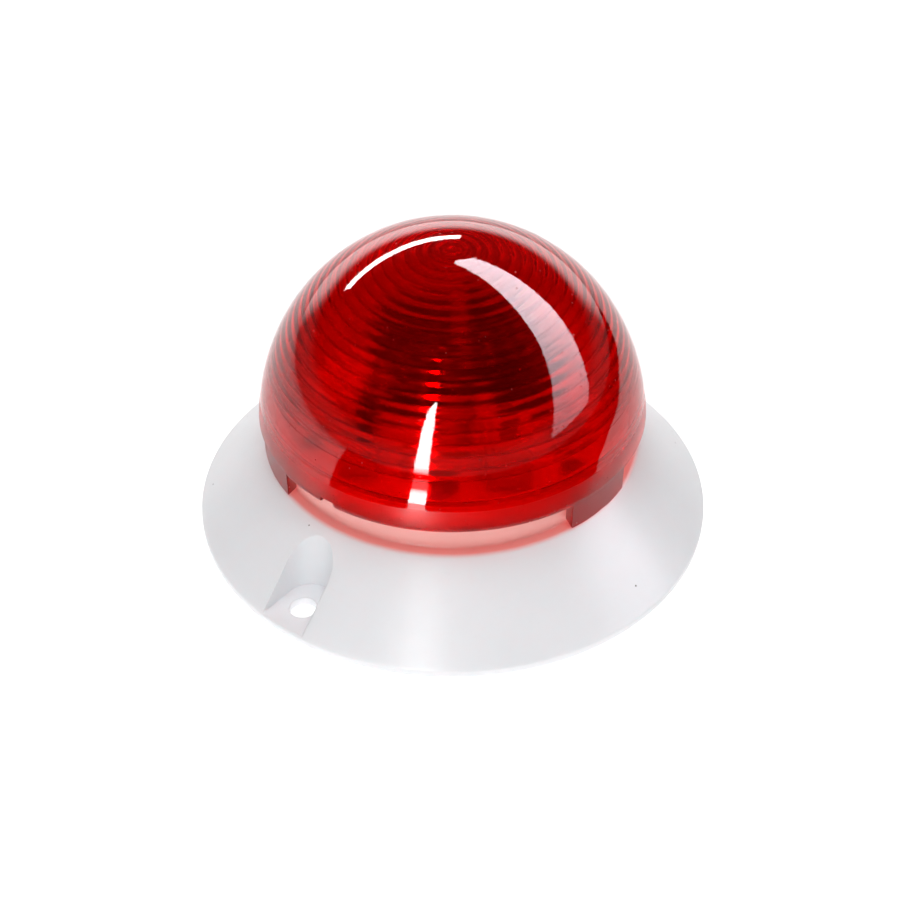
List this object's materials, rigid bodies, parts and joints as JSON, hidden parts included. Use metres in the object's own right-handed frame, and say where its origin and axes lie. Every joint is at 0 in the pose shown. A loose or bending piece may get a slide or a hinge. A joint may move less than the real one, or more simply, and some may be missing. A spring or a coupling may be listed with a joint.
{
  "type": "alarm siren beacon",
  "caption": "Round wall alarm beacon: clear red ribbed dome lens pressed onto a white conical base that holds a flash tube and sounder board.",
  "frame": {"origin": "centre of the base's flat back, on the wall plane", "axes": "+Z points out of the wall through the lens, -Y is the front, +X is to the right seen from the front"},
  "size_m": [0.1, 0.1, 0.0581],
  "materials": {
    "white_plastic": "smooth injection-moulded white plastic, soft gloss",
    "red_lens": "clear red moulded plastic, polished outside, ribbed inside, satin skirt",
    "seal_rubber": "pale translucent silicone rubber",
    "board_laminate": "white solder mask on glass-epoxy laminate",
    "zinc_steel": "bright zinc-plated steel",
    "tinned_metal": "tinned metal",
    "clear_glass": "clear flash-tube glass",
    "sleeve_black": "black insulating sleeve",
    "copper_winding": "enamelled copper wire",
    "winding_tape": "dark brown polyester tape over the winding",
    "black_plastic": "moulded black plastic",
    "ferrite": "dark grey sintered ferrite",
    "capacitor_sleeve": "dark blue shrink sleeve",
    "resistor_coat": "tan lacquer",
    "film_yellow": "yellow potted plastic",
    "terminal_grey": "pale grey moulded plastic",
    "switch_red": "red moulded plastic",
    "moulded_white": "white moulded plastic",
    "trimmer_orange": "orange moulded plastic",
    "brass_disc": "rolled brass"
  },
  "bodies": {
    "base": {"base_housing": "white_plastic", "lens_seal": "seal_rubber", "cable_grommet": "seal_rubber", "circuit_board": "board_laminate", "board_screw_1": "zinc_steel", "board_screw_2": "zinc_steel", "board_screw_3": "zinc_steel", "flash_tube": "clear_glass", "tube_cap_left": "tinned_metal", "tube_cap_right": "tinned_metal", "tube_lead_left": "tinned_metal", "tube_lead_right": "tinned_metal", "lead_sleeve_left": "sleeve_black", "lead_sleeve_right": "sleeve_black", "trigger_coil": "copper_winding", "trigger_wire": "copper_winding", "inverter_bobbin": "black_plastic", "inverter_core": "ferrite", "inverter_winding": "winding_tape", "storage_capacitor": "capacitor_sleeve", "gate_resistor": "resistor_coat", "bleed_resistor": "resistor_coat", "rectifier_diode": "black_plastic", "switching_transistor": "black_plastic", "film_capacitor": "film_yellow", "terminal_block": "terminal_grey", "slide_switch_body": "switch_red", "trimmer_body": "trimmer_orange", "sounder_case": "moulded_white", "sounder_disc": "brass_disc", "tamper_switch_body": "moulded_white"},
    "lens": {"lens_dome": "red_lens"},
    "terminal_screw_a": {"terminal_screw_1": "zinc_steel"},
    "terminal_screw_b": {"terminal_screw_2": "zinc_steel"},
    "terminal_cage_a": {"terminal_cage_1": "tinned_metal"},
    "terminal_cage_b": {"terminal_cage_2": "tinned_metal"},
    "slider_a": {"switch_slider_1": "moulded_white"},
    "slider_b": {"switch_slider_2": "moulded_white"},
    "trimmer": {"trimmer_rotor": "moulded_white"},
    "tamper": {"tamper_plunger": "moulded_white"}
  },
  "joints": [
    {"name": "lens_lift", "type": "slide", "parent": "base", "child": "lens", "axis": [0, 0, 1], "range_m": [0, 0.03]},
    {"name": "terminal_screw_a_turn", "type": "hinge", "parent": "base", "child": "terminal_screw_a", "pos_m": [0.01, -0.0185, 0.027], "axis": [0, 0, -1], "range_deg": [0, 1080]},
    {"name": "terminal_cage_a_rise", "type": "slide", "parent": "base", "child": "terminal_cage_a", "axis": [0, 0, 1], "range_m": [0, 0.0015]},
    {"name": "terminal_screw_b_turn", "type": "hinge", "parent": "base", "child": "terminal_screw_b", "pos_m": [0.01, -0.0135, 0.027], "axis": [0, 0, -1], "range_deg": [0, 1080]},
    {"name": "terminal_cage_b_rise", "type": "slide", "parent": "base", "child": "terminal_cage_b", "axis": [0, 0, 1], "range_m": [0, 0.0015]},
    {"name": "slider_a_slide", "type": "slide", "parent": "base", "child": "slider_a", "axis": [1, 0, 0], "range_m": [0, 0.002]},
    {"name": "slider_b_slide", "type": "slide", "parent": "base", "child": "slider_b", "axis": [1, 0, 0], "range_m": [0, 0.002]},
    {"name": "trimmer_turn", "type": "hinge", "parent": "base", "child": "trimmer", "pos_m": [-0.017, -0.014, 0.0233], "axis": [0, 0, 1], "range_deg": [-135, 135]},
    {"name": "tamper_release", "type": "slide", "parent": "base", "child": "tamper", "axis": [0, 0, -1], "range_m": [0, 0.0016], "stiffness_N_per_m": 30, "springref_m": 0.002}
  ],
  "couplings": [
    {"joint": "terminal_screw_a_turn", "follows": "terminal_cage_a_rise", "rad_per_m": 12560},
    {"joint": "terminal_screw_b_turn", "follows": "terminal_cage_b_rise", "rad_per_m": 12560}
  ]
}
